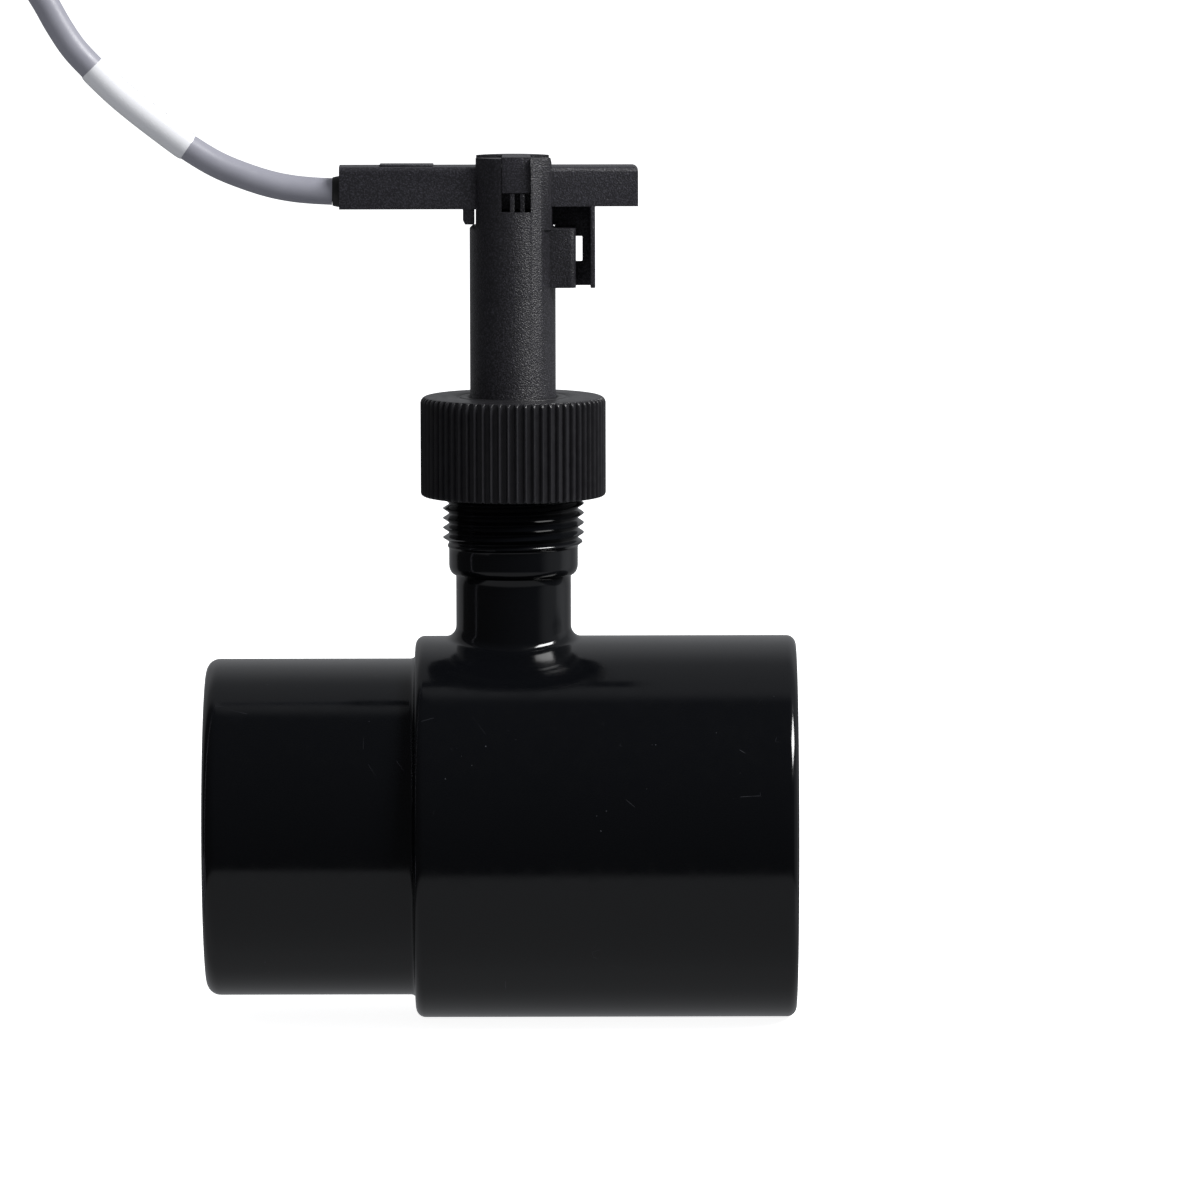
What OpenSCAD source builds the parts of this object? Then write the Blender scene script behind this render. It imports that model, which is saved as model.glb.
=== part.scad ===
// Paddle flow switch in a solvent-weld pipe tee. Millimetres, +Z up.
// The origin is the centre of the stop in the pipe socket, on the pipe axis.
// +X leaves the socket mouth; the spigot points to -X and the neck to +Z.

/* [Pipe tee] */
// Outside diameter of the pipe, and of the spigot
pipe_d = 63; // [56:0.5:75]
// Wall of the body around the pipe in the socket
socket_wall = 4.25; // [3:0.25:6]
// Wall of the spigot
spigot_wall = 4.5; // [3:0.25:6]
// Depth of the socket, from its mouth to the pipe stop
socket_depth = 38; // [30:1:46]
// Length of the thick body, from its shoulder to the socket mouth
body_len = 71.2; // [66:0.2:90]
// Length of the spigot beyond the shoulder
spigot_len = 39.2; // [30:0.2:60]
// Distance from the pipe stop back to the neck axis
neck_back = 14.8; // [13:0.2:17]
// Radius on the outer edges of the body
edge_round = 1.8; // [0.5:0.1:2.5]

/* [Neck] */
// Outside diameter of the plain neck
neck_d = 21.5; // [20:0.5:22.5]
// Bore of the neck, which takes the insert
neck_bore = 16; // [15.8:0.1:16.6]
// Outside diameter of the collar under the thread, and of the thread roots
collar_d = 24.1; // [23.2:0.1:24.6]
// Outside diameter of the thread
thread_d = 26.4; // [25.6:0.1:27]
// Thread pitch of a G 3/4 thread
thread_pitch = 1.814; // [1.8:0.001:2.5]
// Height of the plain neck above the body
neck_h = 11.75; // [9:0.25:18]
// Height of the collar, with its rounded underside
collar_h = 5.8; // [5:0.1:9]
// Height of the threaded end
thread_h = 20.9; // [19:0.1:24]

/* [Union nut] */
// Outside diameter of the nut
nut_d = 34.6; // [33:0.2:40]
// Height of the nut
nut_h = 18.6; // [15.6:0.2:20]
// Thickness of the nut's top wall
nut_top = 2.7; // [1.5:0.1:3]
// Number of grip ribs round the nut
nut_ribs = 66; // [48:1:72]

/* [Insert] */
// Outside diameter of the column
column_d = 16; // [15.4:0.1:16.2]
// Bore of the column, in which the lever's magnet swings
column_bore = 11.2; // [10.8:0.1:11.6]
// Height of the column above the nut
column_h = 32; // [30:0.5:45]
// Height of the tower that holds the switch carrier, above the column
tower_h = 12.8; // [12.6:0.2:15]
// Flange that the nut clamps
flange_d = 22; // [20:0.5:23]
// Thickness of the flange
flange_t = 2.2; // [1.8:0.1:3]
// Length of the skirt under the flange, in the neck bore
skirt_len = 14.7; // [13.5:0.1:18]

/* [Paddle] */
// Width of the blade across the flow
blade_w = 13; // [9:0.5:14]
// Height of the blade
blade_h = 38; // [32:1:44]
// Thickness of the blade along the flow
blade_t = 1.2; // [0.8:0.1:1.6]
// Distance from the pivot down to the tip of the blade
paddle_reach = 78; // [68:1:84]

/* [Switch carrier] */
// Length of the bar to the left of the neck axis
bar_left = 32.2; // [26:0.2:40]
// Length of the bar to the right of the neck axis
bar_right = 23.4; // [20:0.2:30]
// Width of the bar across the pipe
bar_w = 8; // [7:0.2:9]
// Height of the bar
bar_h = 7.9; // [7.4:0.1:8.4]
// Bore along the bar, which holds the reed contact
bar_bore = 5; // [4.8:0.1:5.4]
// Diameter of the cable
cable_d = 5; // [4.6:0.1:5.2]

/* [Hidden] */

eps = 0.01;           // how far a cut runs past a face
fit_gap = 0.15;       // seated pieces of one body
run_gap = 0.3;        // round faces of pieces that move past each other
pin_gap = 0.05;       // radial clearance of the hinge pin in the lever

// tee
spigot_r = pipe_d / 2;
body_r = spigot_r + socket_wall;
passage_r = spigot_r - spigot_wall;
socket_r = spigot_r + 0.1;
shoulder_x = socket_depth - body_len;
spigot_x = shoulder_x - spigot_len;
neck_x = -neck_back;

// heights above the pipe axis
collar_z = body_r + neck_h;
thread_z = collar_z + collar_h;
neck_top_z = thread_z + thread_h;
gasket_t = 1;
flange_z = neck_top_z + gasket_t;
slip_z = flange_z + flange_t;
slip_t = 0.8;
nut_top_z = slip_z + slip_t + nut_top;
nut_z = nut_top_z - nut_h;
skirt_z = flange_z - skirt_len;
column_top_z = nut_top_z + column_h;
tower_top_z = column_top_z + tower_h;
collar_round = 1.9;           // height of the collar's rounded underside

// insert
skirt_r = neck_bore / 2 - fit_gap;
bore_r = column_bore / 2;
bore_top_z = column_top_z - 3.2;
ring_z = flange_z - 4.8;      // centre of the skirt's O-ring
ring_d = 1.8;
pin_r = 0.8;
pivot_z = skirt_z + 3.6;
tower_left = 6.8;             // sides of the tower, from the neck axis
tower_half = 7.4;
slot_x = [-2, 3.5];           // the slot in the tower's front
rib_y = -6.4;                 // front of the slot's ribs and of the carrier's nose
rib_top = 3;                  // height of the ribs above the bar's underside

// paddle
rod_r = 1.2;
hub_r = 2.3;
magnet_r = 2;
magnet_h = 5;
magnet_z = bore_top_z - 1.2 - magnet_h;
tip_z = pivot_z - paddle_reach;
blade_top_z = tip_z + blade_h;
foot_h = 13;                 // flattened end of the lever, behind the blade
foot_t = 1.6;
rivet_r = 1;

// switch carrier
bar_z = column_top_z + 3.2;
bar_top_z = bar_z + bar_h;
bar_axis_z = bar_z + 3.1;      // the cable's route starts at this height
bar_step = 0.5;              // the right end of the bar is this much shallower
channel_gap = 0.2;
lid_x = neck_x - bar_left + 7.5;
lid_len = 10;
lid_w = 5.2;
lid_t = 0.3;
port_len = 7.4;
port_w = 2.6;
stub_out = 1.3;
stub_in = 3;
potting_len = 14;
glass_len = 14;
glass_r = 1.1;

// guide block of the column, and the snap arm that it guides
guide_x = 11.8;
guide_front = 4;
guide_back = 2.4;
guide_h = 11.1;
guide_top_z = column_top_z - 0.4;
arm_front_gap = 0.4;
arm_x = 15.4;                // outer face of the arm's flank, from the neck axis
arm_in_x = [7.85, 7.3];     // inner edge of the arm's plate, beside and above the column
step_x = arm_in_x[1] - 0.15;  // the bar's shallower part starts here
arm_strip = 0.9;
arm_back = bar_w / 2;
arm_plate_front = guide_back + arm_front_gap;
arm_bottom_z = guide_top_z - guide_h;
window_x = [10, 13];
window_z = [guide_top_z - 6.6, guide_top_z - 1.9];

// cable, and its route from the carrier to the coil in the part's own frame
floor_z = -body_r;
cable_r = cable_d / 2;
coil_x = -151.5;
coil_mid_r = 28;             // the bundle is seven strands, one amid six
coil_lift = 0.8;             // the ties run under the coil
coil_half_w = 1.5 * cable_d;
coil_half_h = (0.5 + sqrt(0.75)) * cable_d;
coil_z = floor_z + coil_lift + coil_half_h;
tie_w = 4;
tail_x = coil_x - coil_mid_r - cable_d;
tail_y = [-25, -18];
core_len = 9;
core_side = 1.1;
core_r = 0.8;
ferrule_len = 4;
route = [
    [-48.3, 0, 119.2], [-52, 0, 119.4], [-55.8, 0, 119.8], [-59.8, 0, 120.6], [-64.8, 0, 122.2],
    [-69.8, 0, 124.3], [-75.1, 0, 127.5], [-79.6, 0, 130.8], [-84.5, 0, 134.6], [-88.4, 0, 137.9],
    [-92.9, 0, 142.3], [-96.3, 0, 146], [-99.2, 0, 150.4], [-101.9, 0, 155.2], [-105.8, 0, 160.8],
    [-111.6, -1, 165.2], [-119, -2, 167.2], [-126.6, -4, 166.5], [-133.8, -6, 163.2],
    [-139.4, -8, 157.8], [-142.7, -10, 151], [-143.5, -12, 143.4], [-143, -14, 134],
    [-142, -16, 122], [-140.5, -18, 108], [-138.5, -20, 94], [-136.5, -22, 80],
    [-134, -23, 66], [-131.5, -24, 52], [-128.6, -25, 38], [-126, -25.5, 25],
    [-123.6, -26, 12], [-122, -25.6, 1], [-121.2, -23.4, -8], [-121, -18.6, -15.6],
    [-121, -11.6, -21.1], [-121, -3.5, -23.7], [-121, 3, -23.8]
];
label_from = 6;              // the label runs between these points of the route
label_to = 10;
tube_sides = 10;

// ---- shared shapes ----

// A cylinder that stands on the neck axis between two heights
module post(z0, z1, r) {
    translate([neck_x, 0, z0]) cylinder(h = z1 - z0, r = r, $fn = 96);
}

// A cylinder along X between two places
module rod_x(x0, x1, r, y = 0, z = 0) {
    translate([x0, y, z]) rotate([0, 90, 0]) cylinder(h = x1 - x0, r = r, $fn = 96);
}

// A cylinder along Y, centred on the neck axis
module rod_y(len, r, z) {
    translate([neck_x, 0, z]) rotate([90, 0, 0]) cylinder(h = len, r = r, center = true, $fn = 64);
}

// A box between two corners, given from the neck axis
module block(low, high) {
    translate([neck_x + low.x, low.y, low.z]) cube(high - low);
}

// A profile of length and radius, turned about the X axis
module turned_x() {
    rotate([0, 90, 0]) rotate_extrude($fn = 160) children();
}

// Direction along the route at point i, from its neighbours
function unit(v) = v / norm(v);
function heading(i) = i == 0 ? [-1, 0, 0] :
    unit(route[min(i + 1, len(route) - 1)] - route[i - 1]);

// Points of one ring round the route. Its frame leans on Y while the cable lies near the XZ plane.
function side_axis(i) = unit(cross(heading(i), [0, 1, 0]));
function ring_points(i, r) = [
    for (k = [0 : tube_sides - 1])
        let(
            a = 360 * k / tube_sides,
            u = side_axis(i),
            v = cross(heading(i), u)
        )
        route[i] + r * cos(a) * u + r * sin(a) * v
];

// One closed skin: walls between rings listed in order, and a cap at each end
module swept(first, last, r) {
    n = tube_sides;
    count = last - first + 1;
    points = [for (i = [first : last]) each ring_points(i, r)];
    walls = [
        for (i = [0 : count - 2], k = [0 : n - 1])
            let(a = i * n + k, b = i * n + (k + 1) % n)
            each [[a, b, b + n], [a, b + n, a + n]]
    ];
    caps = [[for (k = [n - 1 : -1 : 0]) k], [for (k = [0 : n - 1]) (count - 1) * n + k]];
    polyhedron(points, concat(walls, caps), convexity = 6);
}

// The same as a thin-walled tube: outer walls, inner walls and a flat ring at each end
module sleeve(first, last, r_out, r_in) {
    n = tube_sides;
    count = last - first + 1;
    inner = n * count;
    points = concat(
        [for (i = [first : last]) each ring_points(i, r_out)],
        [for (i = [first : last]) each ring_points(i, r_in)]
    );
    walls = [
        for (i = [0 : count - 2], k = [0 : n - 1])
            let(a = i * n + k, b = i * n + (k + 1) % n)
            each [
                [a, b, b + n], [a, b + n, a + n],
                [inner + b, inner + a, inner + a + n], [inner + b, inner + a + n, inner + b + n]
            ]
    ];
    last_ring = (count - 1) * n;
    ends = [
        for (k = [0 : n - 1])
            let(j = (k + 1) % n)
            each [
                [k, inner + k, inner + j], [k, inner + j, j],
                [last_ring + j, last_ring + inner + j, last_ring + inner + k],
                [last_ring + j, last_ring + inner + k, last_ring + k]
            ]
    ];
    polyhedron(points, concat(walls, ends), convexity = 6);
}

// ---- tee ----

// Outer outline of spigot and body as [radius, x], with rounded ends
module tee_outline() {
    spigot_round = 2.6;
    round_bar(spigot_r, spigot_x, shoulder_x + 2 * spigot_round, spigot_round);
    round_bar(body_r, shoulder_x, socket_depth, edge_round);
}

// A rectangle out to radius r, from y0 to y1, whose two outer corners are arcs
module round_bar(r, y0, y1, round) {
    steps = 8;
    polygon(concat(
        [[0, y0]],
        [for (i = [0 : steps]) let(a = 90 * i / steps)
            [r - round + round * sin(a), y0 + round - round * cos(a)]],
        [for (i = [0 : steps]) let(a = 90 * i / steps)
            [r - round + round * cos(a), y1 - round + round * sin(a)]],
        [[0, y1]]
    ));
}

// Ring-shaped thread crests, a fair stand-in for the helix within half a pitch
module thread_rings() {
    count = floor((thread_h - 0.6) / thread_pitch);
    depth = (thread_d - collar_d) / 2;
    for (i = [0 : count - 1])
        translate([neck_x, 0, thread_z + 0.5 + i * thread_pitch])
            rotate_extrude($fn = 96)
                polygon([
                    [collar_d / 2 - 0.4, 0],
                    [collar_d / 2 - eps, 0],
                    [collar_d / 2 + depth, 0.6 * depth],
                    [collar_d / 2 + depth, 0.6 * depth + 0.24],
                    [collar_d / 2 - eps, 1.2 * depth + 0.24],
                    [collar_d / 2 - 0.4, 1.2 * depth + 0.24]
                ]);
}

// The collar swells from the neck in a quarter-round
module collar_underside() {
    swell = (collar_d - neck_d) / 2;
    translate([neck_x, 0, collar_z])
        rotate_extrude($fn = 96)
            polygon(concat(
                [[0, 0]],
                [for (a = [0 : 15 : 90])
                    [neck_d / 2 + swell * sin(a), collar_round * (1 - cos(a))]],
                [[0, collar_round]]
            ));
}

module tee_body() {
    color([0.06, 0.065, 0.08])
    difference() {
        union() {
            turned_x() tee_outline();
            post(0, collar_z + 1, neck_d / 2);
            collar_underside();
            post(collar_z + collar_round, neck_top_z, collar_d / 2);
            thread_rings();
        }
        rod_x(spigot_x - 1, 1, passage_r);
        rod_x(0, socket_depth + 1, socket_r);
        post(0, neck_top_z + 1, neck_bore / 2);
    }
}

// ---- insert ----

// Ramp on the back of the guide block, which holds the snap arm's window
module catch_ramp() {
    reach = arm_plate_front + 0.9;
    translate([neck_x + 10.4, 0, 0])
        rotate([90, 0, 90])
            linear_extrude(1.1)
                polygon([
                    [guide_back - 0.5, window_z[0] + 0.1],
                    [guide_back, window_z[0] + 0.1],
                    [reach, window_z[1] - 0.8],
                    [reach, window_z[1] - 0.4],
                    [guide_back - 0.5, window_z[1] - 0.4]
                ]);
}

// Two upright ribs at the foot of the slot in the tower's front
module slot_ribs() {
    rib_t = 0.85;
    for (x = [slot_x[0] + 1.6, slot_x[0] + 3.5])
        block([x, rib_y, bar_z - 1], [x + rib_t, -bar_w / 2 - 0.4, bar_z + rib_top]);
}

// The column runs on to the tower's top with flat sides, and is fuller at its right front
module tower_walls() {
    intersection() {
        post(column_top_z - 1, tower_top_z, column_d / 2);
        block([-tower_left, -column_d, column_top_z - 2], [tower_half - 0.45, column_d, tower_top_z + 1]);
    }
    translate([neck_x, 0, column_top_z - 0.6])
        linear_extrude(tower_h + 0.6)
            polygon([[5.2, -6], [6.6, -5.3], [7.2, -4.7], [tower_half, -4], [tower_half, -2.5], [6, -2.5]]);
}

module tower() {
    top = tower_top_z;
    difference() {
        intersection() {
            tower_walls();
            translate([neck_x, 0, 0])
                rotate([90, 0, 0])
                    linear_extrude(2 * column_d, center = true)
                        polygon([
                            [-tower_half - 1, column_top_z - 2],
                            [tower_half + 0.2, column_top_z - 2],
                            [tower_half + 0.2, top - 2.2],
                            [tower_half - 0.3, top + 0.1],
                            [-tower_half - 1, top + 0.1]
                        ]);
        }
        block(
            [-tower_half - 3, -bar_w / 2 - channel_gap, bar_z],
            [tower_half + 3, bar_w / 2 + channel_gap, top + 1]
        );
        block([slot_x[0], -column_d, bar_z - 0.4], [slot_x[1], 0, top + 1]);
    }
    slot_ribs();
}

module guide_block() {
    front_round = 1.2;
    difference() {
        block([0, -guide_front, guide_top_z - guide_h], [guide_x, guide_back, guide_top_z]);
        difference() {
            block(
                [guide_x - front_round, -guide_front - eps, guide_top_z - guide_h - 1],
                [guide_x + 1, -guide_front + front_round, guide_top_z + 1]
            );
            translate([neck_x + guide_x - front_round, -guide_front + front_round, 0])
                cylinder(h = 2 * tower_top_z, r = front_round, $fn = 32);
        }
    }
    catch_ramp();
}

module insert_column() {
    color([0.10, 0.10, 0.11])
    difference() {
        union() {
            post(skirt_z, flange_z, skirt_r);
            post(flange_z, slip_z, flange_d / 2);
            post(slip_z, nut_top_z + 0.8, column_d / 2 + 0.1);
            post(slip_z, column_top_z - 0.5, column_d / 2);
            translate([neck_x, 0, column_top_z - 0.5])
                cylinder(h = 0.5, r1 = column_d / 2, r2 = column_d / 2 - 0.5, $fn = 96);
            guide_block();
            tower();
        }
        post(skirt_z - 1, bore_top_z, bore_r);
        rod_y(2 * neck_bore, pin_r + 0.02, pivot_z);
        translate([neck_x, 0, ring_z])
            rotate_extrude($fn = 96)
                translate([neck_bore / 2 - ring_d - 0.12, -ring_d / 2 - 0.1])
                    square([ring_d, ring_d + 0.2]);
        rod_x(neck_x + guide_x - 3, neck_x + guide_x + 1, 2 + fit_gap, 0, guide_top_z - 5);
    }
}

module skirt_o_ring() {
    color([0.04, 0.04, 0.04])
    translate([neck_x, 0, ring_z])
        rotate_extrude($fn = 96)
            translate([neck_bore / 2 - 0.06 - ring_d / 2, 0]) circle(d = ring_d, $fn = 32);
}

module flange_gasket() {
    color([0.05, 0.05, 0.05])
    difference() {
        post(neck_top_z, flange_z, flange_d / 2 - 0.3);
        post(neck_top_z - 1, flange_z + 1, neck_bore / 2 + 0.2);
    }
}

module hinge_pin() {
    color([0.75, 0.75, 0.78]) rod_y(2 * skirt_r - 1, pin_r, pivot_z);
}

module return_magnet() {
    color([0.35, 0.35, 0.37]) rod_x(neck_x + guide_x - 3, neck_x + guide_x - 0.2, 2, 0, guide_top_z - 5);
}

// ---- union nut ----

module slip_ring() {
    color([0.7, 0.7, 0.68])
    difference() {
        post(slip_z, slip_z + slip_t, flange_d / 2);
        post(slip_z - 1, slip_z + slip_t + 1, column_d / 2 + 0.1 + run_gap);
    }
}

module union_nut() {
    wall_top = slip_z + slip_t;
    groove_r = 0.45;
    color([0.09, 0.09, 0.10])
    difference() {
        translate([neck_x, 0, nut_z])
            rotate_extrude($fn = 160)
                round_bar(nut_d / 2, 0, nut_h, 1.2);
        post(nut_z - 1, wall_top, thread_d / 2 + run_gap);
        post(wall_top - 1, nut_top_z + 1, column_d / 2 + 0.1 + run_gap);
        for (i = [0 : nut_ribs - 1])
            translate([neck_x, 0, nut_z - 1])
                rotate([0, 0, 360 * i / nut_ribs])
                    translate([nut_d / 2 + 0.1, 0, 0])
                        cylinder(h = nut_h - 0.6, r = groove_r, $fn = 16);
    }
}

// ---- paddle ----

module paddle_lever() {
    foot_top = blade_top_z + 3;
    color([0.82, 0.82, 0.80])
    difference() {
        union() {
            post(foot_top - 1, magnet_z, rod_r);
            rod_y(column_bore - 2.4, hub_r, pivot_z);
            block(
                [blade_t / 2 + 0.02, -3, blade_top_z - foot_h],
                [blade_t / 2 + foot_t, 3, foot_top]
            );
            block([-rod_r, -3, blade_top_z + 0.3], [blade_t / 2 + foot_t, 3, foot_top]);
        }
        rod_y(column_bore, pin_r + pin_gap, pivot_z);
        for (z = [3, foot_h - 3])
            rod_x(neck_x, neck_x + 5, rivet_r + 0.02, 0, blade_top_z - z);
    }
}

module paddle_blade() {
    color([0.72, 0.73, 0.75])
    difference() {
        translate([neck_x - blade_t / 2, 0, 0])
            rotate([90, 0, 90])
                linear_extrude(blade_t)
                    union() {
                        translate([-blade_w / 2, tip_z + blade_w / 2])
                            square([blade_w, blade_h - blade_w / 2]);
                        translate([0, tip_z + blade_w / 2]) circle(d = blade_w, $fn = 64);
                    }
        for (z = [3, foot_h - 3])
            rod_x(neck_x - 5, neck_x + 5, rivet_r + 0.02, 0, blade_top_z - z);
    }
}

module blade_rivets() {
    color([0.8, 0.8, 0.82])
    for (z = [3, foot_h - 3]) {
        rod_x(
            neck_x - blade_t / 2 - 0.02, neck_x + blade_t / 2 + foot_t + 0.02,
            rivet_r, 0, blade_top_z - z
        );
        rod_x(neck_x - blade_t / 2 - 0.72, neck_x - blade_t / 2 - 0.02, 1.9, 0, blade_top_z - z);
        rod_x(
            neck_x + blade_t / 2 + foot_t + 0.02, neck_x + blade_t / 2 + foot_t + 0.62,
            1.7, 0, blade_top_z - z
        );
    }
}

module paddle_magnet() {
    color([0.3, 0.3, 0.32]) post(magnet_z, magnet_z + magnet_h, magnet_r);
}

// ---- switch carrier ----

module carrier_bar() {
    hook_x = [-9.2, -7.1];
    hook_z = column_top_z + run_gap;
    nose_x = [slot_x[0] + 0.12, slot_x[1] - 0.12];
    nose_z = bar_z + rib_top + 0.15;
    color([0.11, 0.11, 0.12])
    difference() {
        union() {
            bar_body();
            // raised middle, which fills the tower's channel to its top, and its nose in the slot
            block([nose_x[0], -bar_w / 2, bar_z], [nose_x[1], bar_w / 2, tower_top_z + 0.2]);
            block([nose_x[0], rib_y, nose_z], [nose_x[1], -bar_w / 2 + 1, tower_top_z + 0.2]);
            // hook beside the column
            translate([neck_x, 3, 0])
                rotate([90, 0, 0])
                    linear_extrude(6)
                        polygon([
                            [hook_x[0], bar_z + 1],
                            [hook_x[0], hook_z + 0.8],
                            [hook_x[0] + 0.4, hook_z],
                            [hook_x[1], hook_z],
                            [hook_x[1], bar_z + 1]
                        ]);
        }
        rod_x(neck_x - bar_left - 1, neck_x + 12, bar_bore / 2, 0, bar_axis_z);
        translate([lid_x + (lid_len - port_len) / 2, -port_w / 2, bar_axis_z])
            cube([port_len, port_w, bar_h]);
    }
}

// Bar with arc-rounded long top edges; its right part is a little shallower
module bar_body() {
    top_round = 1;
    intersection() {
        translate([neck_x - bar_left, 0, 0])
            rotate([90, 0, 90])
                linear_extrude(bar_left + bar_right)
                    polygon(concat(
                        [[-bar_w / 2, bar_z], [bar_w / 2, bar_z]],
                        [for (a = [0 : 15 : 90])
                            [bar_w / 2 - top_round + top_round * cos(a),
                             bar_top_z - top_round + top_round * sin(a)]],
                        [for (a = [90 : 15 : 180])
                            [-bar_w / 2 + top_round + top_round * cos(a),
                             bar_top_z - top_round + top_round * sin(a)]]
                    ));
        translate([neck_x, bar_w, 0])
            rotate([90, 0, 0])
                linear_extrude(2 * bar_w)
                    polygon(concat(
                        [[-bar_left, bar_z], [step_x, bar_z], [step_x, bar_z + bar_step],
                         [bar_right, bar_z + bar_step]],
                        [for (a = [0 : 15 : 90])
                            [bar_right - 1.2 + 1.2 * cos(a), bar_top_z - 1.2 + 1.2 * sin(a)]],
                        [[-bar_left, bar_top_z]]
                    ));
    }
}

module carrier_lid() {
    color([0.12, 0.12, 0.13])
    union() {
        translate([lid_x, -lid_w / 2, bar_top_z]) cube([lid_len, lid_w, lid_t]);
        translate([
            lid_x + (lid_len - port_len) / 2 + fit_gap, -port_w / 2 + fit_gap,
            bar_axis_z + bar_bore / 2 + 0.1
        ])
            cube([port_len - 2 * fit_gap, port_w - 2 * fit_gap, bar_top_z - bar_axis_z - bar_bore / 2]);
    }
}

module gland_stub() {
    end_x = neck_x - bar_left;
    plug_r = bar_bore / 2 - 0.05;
    color([0.07, 0.07, 0.08])
    union() {
        translate([end_x - stub_out, 0, bar_axis_z])
            rotate([0, 90, 0])
                cylinder(h = stub_out, r1 = cable_r + 0.1, r2 = bar_bore / 2 + 0.45, $fn = 96);
        rod_x(end_x - eps, end_x + stub_in, plug_r, 0, bar_axis_z);
    }
}

module potting() {
    start = neck_x - bar_left + stub_in;
    color([0.05, 0.05, 0.05]) rod_x(start, start + potting_len, bar_bore / 2 - 0.05, 0, bar_axis_z);
}

module reed_glass() {
    color([0.7, 0.85, 0.8, 0.5])
    translate([neck_x - glass_len / 2, 0, bar_axis_z])
        rotate([0, 90, 0])
            difference() {
                cylinder(h = glass_len, r = glass_r, $fn = 48);
                translate([0, 0, 1.5]) cylinder(h = glass_len - 3, r = glass_r - 0.35, $fn = 48);
                translate([0, 0, -1]) cylinder(h = glass_len + 2, r = 0.35, $fn = 48);
            }
}

// Each contact reed and its lead; the two blades overlap in the middle of the glass
module reed_lead_left() {
    color([0.8, 0.75, 0.6])
    union() {
        rod_x(neck_x - bar_left + stub_in + potting_len, neck_x - 5, 0.3, 0, bar_axis_z);
        block([-5 - eps, -0.3, bar_axis_z + 0.08], [1, 0.3, bar_axis_z + 0.26]);
    }
}

module reed_lead_right() {
    color([0.8, 0.75, 0.6])
    union() {
        rod_x(neck_x + 5, neck_x + glass_len / 2 + 3, 0.3, 0, bar_axis_z);
        block([-1, -0.3, bar_axis_z - 0.26], [5 + eps, 0.3, bar_axis_z - 0.08]);
    }
}

// Springy plate behind the guide block, with its window and its flank strip
module snap_arm() {
    top_z = bar_z + bar_step;
    color([0.11, 0.11, 0.12])
    difference() {
        union() {
            block([arm_in_x[0], arm_plate_front, arm_bottom_z], [arm_x, arm_back, top_z]);
            block([arm_in_x[1], arm_plate_front, column_top_z - 0.2], [arm_x, arm_back, top_z]);
            block([arm_x - arm_strip, -arm_back, arm_bottom_z], [arm_x, arm_back, top_z]);
        }
        block(
            [window_x[0], 0, window_z[0]],
            [window_x[1], bar_w, window_z[1]]
        );
    }
}

// ---- cable ----

module cable_run() {
    color([0.6, 0.6, 0.63]) swept(0, len(route) - 1, cable_r);
}

module cable_label() {
    color([0.95, 0.95, 0.95]) sleeve(label_from, label_to, cable_r + 0.3, cable_r + 0.06);
}

// Outline of the coil's bundle or of its tie, with cut corners
module bundle_outline(grow) {
    half_w = coil_half_w + grow;
    half_h = coil_half_h + grow;
    cut = 3.2;
    polygon([
        [-half_w, cut - half_h], [cut - half_w, -half_h], [half_w - cut, -half_h],
        [half_w, cut - half_h], [half_w, half_h - cut], [half_w - cut, half_h],
        [cut - half_w, half_h], [-half_w, half_h - cut]
    ]);
}

module cable_coil() {
    color([0.6, 0.6, 0.63])
    translate([coil_x, 0, coil_z])
        rotate_extrude($fn = 96)
            translate([coil_mid_r, 0]) bundle_outline(0);
}

// Band round the coil's bundle, on the side that faces the given way along Y
module tie(side) {
    translate([coil_x - tie_w / 2, side * coil_mid_r, coil_z])
        rotate([90, 0, 90])
            linear_extrude(tie_w)
                difference() {
                    bundle_outline(coil_lift);
                    bundle_outline(0.1);
                }
}

module tie_front() {
    color([0.08, 0.08, 0.08]) tie(-1);
}

module tie_rear() {
    color([0.08, 0.08, 0.08]) tie(1);
}

// A cylinder along Y beside the tail's axis, between two places
module tail_rod(y0, y1, r, side = 0) {
    translate([tail_x + side * core_side, y0, coil_z])
        rotate([-90, 0, 0]) cylinder(h = y1 - y0, r = r, $fn = 48);
}

module cable_tail() {
    color([0.6, 0.6, 0.63]) tail_rod(tail_y[0], tail_y[1], cable_r);
}

module core(side) {
    tail_rod(tail_y[0] - core_len, tail_y[0], core_r, side);
}

module ferrule(side) {
    tip = tail_y[0] - core_len;
    tail_rod(tip - ferrule_len, tip, core_r - 0.2, side);
}

module core_brown() {
    color([0.35, 0.2, 0.1]) core(-1);
}

module core_blue() {
    color([0.1, 0.25, 0.6]) core(1);
}

module ferrule_brown() {
    color([0.8, 0.8, 0.82]) ferrule(-1);
}

module ferrule_blue() {
    color([0.8, 0.8, 0.82]) ferrule(1);
}

tee_body();
insert_column();
skirt_o_ring();
flange_gasket();
hinge_pin();
return_magnet();
slip_ring();
union_nut();
paddle_lever();
paddle_blade();
blade_rivets();
paddle_magnet();
carrier_bar();
carrier_lid();
gland_stub();
potting();
reed_glass();
reed_lead_left();
reed_lead_right();
snap_arm();
cable_run();
cable_label();
cable_coil();
tie_front();
tie_rear();
cable_tail();
core_brown();
core_blue();
ferrule_brown();
ferrule_blue();
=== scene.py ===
import math

import bmesh
import bpy
import numpy as np
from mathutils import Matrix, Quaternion, Vector


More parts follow.
